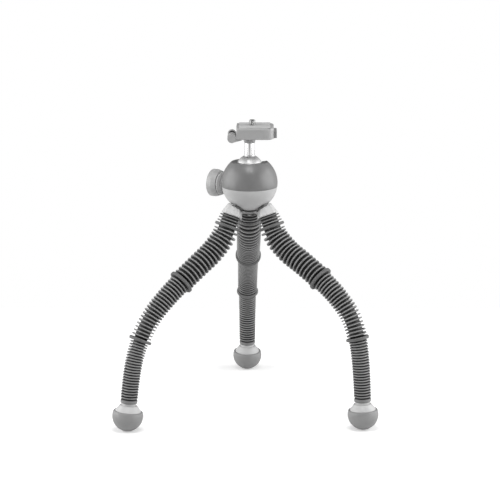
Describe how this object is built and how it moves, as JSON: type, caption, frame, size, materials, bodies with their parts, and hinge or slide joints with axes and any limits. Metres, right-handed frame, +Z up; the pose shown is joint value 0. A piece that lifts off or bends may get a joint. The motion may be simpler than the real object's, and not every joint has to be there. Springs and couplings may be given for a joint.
{
  "type": "flexible leg tripod",
  "caption": "Small camera tripod with bendable ribbed legs on round rubber feet, a ball head with a side lock knob and a quick-release camera clamp.",
  "frame": {"origin": "on the floor that the feet stand on, under the middle of the hub", "axes": "+Z up along the hub and stem, +Y towards the rear leg, +X to the right seen from the front"},
  "size_m": [0.2631, 0.252, 0.2979],
  "materials": {
    "light_plastic": "satin",
    "shell_light": "satin",
    "shell_dark": "satin",
    "knob_grey": "satin",
    "clamp_grey": "satin",
    "dark_plastic": "matte",
    "ball_chrome": "polished",
    "steel": "satin",
    "link_metal": "satin",
    "leg_rubber": "matte",
    "foot_rubber": "matte",
    "pad_rubber": "matte"
  },
  "bodies": {
    "hub_body": {"hub": "light_plastic", "hub_cover": "dark_plastic", "cover_screws": "steel", "root_studs": "link_metal", "pan_bolt": "steel", "pan_washer": "dark_plastic", "left_sleeve": "leg_rubber", "right_sleeve": "leg_rubber", "rear_sleeve": "leg_rubber"},
    "head": {"lower_shell": "shell_light", "upper_shell": "shell_dark", "shell_screws": "steel", "ball_cup": "dark_plastic"},
    "lock_knob": {"lock_screw": "steel", "knob_ring": "knob_grey", "knob_cap": "light_plastic"},
    "ball_body": {"ball": "ball_chrome"},
    "clamp": {"stem": "ball_chrome", "clamp_body": "clamp_grey", "lever_pin": "steel"},
    "jaw": {"moving_jaw": "clamp_grey"},
    "lever": {"clamp_lever": "clamp_grey"},
    "button": {"release_button": "dark_plastic"},
    "plate": {"quick_plate": "clamp_grey", "plate_pad": "pad_rubber"},
    "screw": {"camera_screw": "steel"},
    "left_link_1": {"left_link_1": "link_metal"},
    "left_link_2": {"left_link_2": "link_metal"},
    "left_link_3": {"left_link_3": "link_metal"},
    "left_link_4": {"left_link_4": "link_metal"},
    "left_link_5": {"left_link_5": "link_metal"},
    "left_link_6": {"left_link_6": "link_metal"},
    "left_link_7": {"left_link_7": "link_metal"},
    "left_link_8": {"left_link_8": "link_metal"},
    "left_link_9": {"left_link_9": "link_metal", "left_foot_cap": "light_plastic", "left_foot_pad": "foot_rubber"},
    "right_link_1": {"right_link_1": "link_metal"},
    "right_link_2": {"right_link_2": "link_metal"},
    "right_link_3": {"right_link_3": "link_metal"},
    "right_link_4": {"right_link_4": "link_metal"},
    "right_link_5": {"right_link_5": "link_metal"},
    "right_link_6": {"right_link_6": "link_metal"},
    "right_link_7": {"right_link_7": "link_metal"},
    "right_link_8": {"right_link_8": "link_metal"},
    "right_link_9": {"right_link_9": "link_metal", "right_foot_cap": "light_plastic", "right_foot_pad": "foot_rubber"},
    "rear_link_1": {"rear_link_1": "link_metal"},
    "rear_link_2": {"rear_link_2": "link_metal"},
    "rear_link_3": {"rear_link_3": "link_metal"},
    "rear_link_4": {"rear_link_4": "link_metal"},
    "rear_link_5": {"rear_link_5": "link_metal"},
    "rear_link_6": {"rear_link_6": "link_metal"},
    "rear_link_7": {"rear_link_7": "link_metal"},
    "rear_link_8": {"rear_link_8": "link_metal"},
    "rear_link_9": {"rear_link_9": "link_metal", "rear_foot_cap": "light_plastic", "rear_foot_pad": "foot_rubber"}
  },
  "joints": [
    {"name": "head_pan", "type": "hinge", "parent": "hub_body", "child": "head", "pos_m": [0, 0, 0.2343], "axis": [0, 0, 1], "continuous": true},
    {"name": "knob_turn", "type": "hinge", "parent": "head", "child": "lock_knob", "pos_m": [0, 0, 0.2305], "axis": [-0.866, 0.5, 0], "range_deg": [0, 270]},
    {"name": "head_tilt", "type": "hinge", "parent": "head", "child": "ball_body", "pos_m": [0, 0, 0.2493], "axis": [-0.6428, 0.766, 0], "range_deg": [-35, 85]},
    {"name": "clamp_spin", "type": "hinge", "parent": "ball_body", "child": "clamp", "pos_m": [0, 0, 0.2493], "axis": [0, 0, 1], "continuous": true},
    {"name": "lever_swing", "type": "hinge", "parent": "clamp", "child": "lever", "pos_m": [-0.0176, 0.0123, 0.28205], "axis": [0, 0, -1], "range_deg": [0, 90]},
    {"name": "jaw_slide", "type": "slide", "parent": "clamp", "child": "jaw", "axis": [-1, 0, 0], "range_m": [0, 0.0015]},
    {"name": "button_press", "type": "slide", "parent": "clamp", "child": "button", "axis": [-1, 0, 0], "range_m": [0, 0.0015], "stiffness_N_per_m": 600, "springref_m": -0.0005},
    {"name": "plate_slide", "type": "slide", "parent": "clamp", "child": "plate", "axis": [0, 1, 0], "range_m": [0, 0.03]},
    {"name": "screw_turn", "type": "hinge", "parent": "plate", "child": "screw", "pos_m": [0.0026, 0, 0.29275], "axis": [0, 0, 1], "continuous": true},
    {"name": "left_sway", "type": "hinge", "parent": "hub_body", "child": "left_link_1", "pos_m": [-0.02334, -0.01516, 0.18905], "axis": [-0.6554, -0.4257, 0.6239], "range_deg": [-15, 15], "deforming": ["left_sleeve"]},
    {"name": "left_upper_bend", "type": "hinge", "parent": "left_link_1", "child": "left_link_2", "pos_m": [-0.03559, -0.02311, 0.17075], "axis": [-0.5446, 0.8387, 0], "range_deg": [-12, 20], "deforming": ["left_sleeve"]},
    {"name": "left_upper_bend_2", "type": "hinge", "parent": "left_link_2", "child": "left_link_3", "pos_m": [-0.05153, -0.03347, 0.15665], "axis": [-0.5446, 0.8387, 0], "range_deg": [-12, 20]},
    {"name": "left_sway_2", "type": "hinge", "parent": "left_link_3", "child": "left_link_4", "pos_m": [-0.06758, -0.04389, 0.14273], "axis": [-0.5256, -0.3413, 0.7792], "range_deg": [-15, 15], "deforming": ["left_sleeve"]},
    {"name": "left_middle_bend", "type": "hinge", "parent": "left_link_4", "child": "left_link_5", "pos_m": [-0.08315, -0.054, 0.1278], "axis": [-0.5446, 0.8387, 0], "range_deg": [-20, 20], "deforming": ["left_sleeve"]},
    {"name": "left_middle_bend_2", "type": "hinge", "parent": "left_link_5", "child": "left_link_6", "pos_m": [-0.09706, -0.06303, 0.11072], "axis": [-0.5446, 0.8387, 0], "range_deg": [-20, 20]},
    {"name": "left_sway_3", "type": "hinge", "parent": "left_link_6", "child": "left_link_7", "pos_m": [-0.10736, -0.06972, 0.09037], "axis": [-0.789, -0.5124, 0.3391], "range_deg": [-15, 15], "deforming": ["left_sleeve"]},
    {"name": "left_lower_bend", "type": "hinge", "parent": "left_link_7", "child": "left_link_8", "pos_m": [-0.11323, -0.07353, 0.07095], "axis": [-0.5446, 0.8387, 0], "range_deg": [-20, 20], "deforming": ["left_sleeve"]},
    {"name": "left_lower_bend_2", "type": "hinge", "parent": "left_link_8", "child": "left_link_9", "pos_m": [-0.11662, -0.07574, 0.0507], "axis": [-0.5446, 0.8387, 0], "range_deg": [-20, 20]},
    {"name": "right_sway", "type": "hinge", "parent": "hub_body", "child": "right_link_1", "pos_m": [0.02334, -0.01516, 0.18905], "axis": [0.6282, -0.4079, 0.6625], "range_deg": [-15, 15], "deforming": ["right_sleeve"]},
    {"name": "right_upper_bend", "type": "hinge", "parent": "right_link_1", "child": "right_link_2", "pos_m": [0.03628, -0.02356, 0.17159], "axis": [-0.5446, -0.8387, 0], "range_deg": [-12, 20], "deforming": ["right_sleeve"]},
    {"name": "right_upper_bend_2", "type": "hinge", "parent": "right_link_2", "child": "right_link_3", "pos_m": [0.05321, -0.03455, 0.15922], "axis": [-0.5446, -0.8387, 0], "range_deg": [-12, 20]},
    {"name": "right_sway_2", "type": "hinge", "parent": "right_link_3", "child": "right_link_4", "pos_m": [0.06994, -0.04542, 0.1465], "axis": [0.5165, -0.3354, 0.7879], "range_deg": [-15, 15], "deforming": ["right_sleeve"]},
    {"name": "right_middle_bend", "type": "hinge", "parent": "right_link_4", "child": "right_link_5", "pos_m": [0.08567, -0.05564, 0.13185], "axis": [-0.5446, -0.8387, 0], "range_deg": [-20, 20], "deforming": ["right_sleeve"]},
    {"name": "right_middle_bend_2", "type": "hinge", "parent": "right_link_5", "child": "right_link_6", "pos_m": [0.09868, -0.06408, 0.11384], "axis": [-0.5446, -0.8387, 0], "range_deg": [-20, 20]},
    {"name": "right_sway_3", "type": "hinge", "parent": "right_link_6", "child": "right_link_7", "pos_m": [0.10613, -0.06892, 0.09186], "axis": [0.8266, -0.5368, 0.1693], "range_deg": [-15, 15], "deforming": ["right_sleeve"]},
    {"name": "right_lower_bend", "type": "hinge", "parent": "right_link_7", "child": "right_link_8", "pos_m": [0.10906, -0.07083, 0.07149], "axis": [-0.5446, -0.8387, 0], "range_deg": [-20, 20], "deforming": ["right_sleeve"]},
    {"name": "right_lower_bend_2", "type": "hinge", "parent": "right_link_8", "child": "right_link_9", "pos_m": [0.11065, -0.07186, 0.05092], "axis": [-0.5446, -0.8387, 0], "range_deg": [-20, 20]},
    {"name": "rear_sway", "type": "hinge", "parent": "hub_body", "child": "rear_link_1", "pos_m": [-0.00049, 0.02782, 0.18905], "axis": [-0.0137, 0.7877, 0.6159], "range_deg": [-15, 15], "deforming": ["rear_sleeve"]},
    {"name": "rear_upper_bend", "type": "hinge", "parent": "rear_link_1", "child": "rear_link_2", "pos_m": [-0.00074, 0.04225, 0.17059], "axis": [0.9998, 0.0175, 0], "range_deg": [-12, 20], "deforming": ["rear_sleeve"]},
    {"name": "rear_upper_bend_2", "type": "hinge", "parent": "rear_link_2", "child": "rear_link_3", "pos_m": [-0.00106, 0.06091, 0.15603], "axis": [0.9998, 0.0175, 0], "range_deg": [-12, 20]},
    {"name": "rear_sway_2", "type": "hinge", "parent": "rear_link_3", "child": "rear_link_4", "pos_m": [-0.00139, 0.07956, 0.14147], "axis": [-0.011, 0.6287, 0.7775], "range_deg": [-15, 15], "deforming": ["rear_sleeve"]},
    {"name": "rear_middle_bend", "type": "hinge", "parent": "rear_link_4", "child": "rear_link_5", "pos_m": [-0.00171, 0.09809, 0.12648], "axis": [0.9998, 0.0175, 0], "range_deg": [-20, 20], "deforming": ["rear_sleeve"]},
    {"name": "rear_middle_bend_2", "type": "hinge", "parent": "rear_link_5", "child": "rear_link_6", "pos_m": [-0.00202, 0.11558, 0.11033], "axis": [0.9998, 0.0175, 0], "range_deg": [-20, 20]},
    {"name": "rear_sway_3", "type": "hinge", "parent": "rear_link_6", "child": "rear_link_7", "pos_m": [-0.00224, 0.12852, 0.09042], "axis": [-0.0164, 0.938, 0.3464], "range_deg": [-15, 15], "deforming": ["rear_sleeve"]},
    {"name": "rear_lower_bend", "type": "hinge", "parent": "rear_link_7", "child": "rear_link_8", "pos_m": [-0.00237, 0.13567, 0.07105], "axis": [0.9998, 0.0175, 0], "range_deg": [-20, 20], "deforming": ["rear_sleeve"]},
    {"name": "rear_lower_bend_2", "type": "hinge", "parent": "rear_link_8", "child": "rear_link_9", "pos_m": [-0.00244, 0.13953, 0.05077], "axis": [0.9998, 0.0175, 0], "range_deg": [-20, 20]}
  ],
  "couplings": [
    {"joint": "jaw_slide", "follows": "lever_swing", "m_per_rad": 0.00095493},
    {"joint": "left_upper_bend_2", "follows": "left_upper_bend", "ratio": 1},
    {"joint": "left_sway_2", "follows": "left_sway", "ratio": 1},
    {"joint": "left_middle_bend_2", "follows": "left_middle_bend", "ratio": 1},
    {"joint": "left_sway_3", "follows": "left_sway", "ratio": 1},
    {"joint": "left_lower_bend_2", "follows": "left_lower_bend", "ratio": 1},
    {"joint": "right_upper_bend_2", "follows": "right_upper_bend", "ratio": 1},
    {"joint": "right_sway_2", "follows": "right_sway", "ratio": 1},
    {"joint": "right_middle_bend_2", "follows": "right_middle_bend", "ratio": 1},
    {"joint": "right_sway_3", "follows": "right_sway", "ratio": 1},
    {"joint": "right_lower_bend_2", "follows": "right_lower_bend", "ratio": 1},
    {"joint": "rear_upper_bend_2", "follows": "rear_upper_bend", "ratio": 1},
    {"joint": "rear_sway_2", "follows": "rear_sway", "ratio": 1},
    {"joint": "rear_middle_bend_2", "follows": "rear_middle_bend", "ratio": 1},
    {"joint": "rear_sway_3", "follows": "rear_sway", "ratio": 1},
    {"joint": "rear_lower_bend_2", "follows": "rear_lower_bend", "ratio": 1}
  ]
}
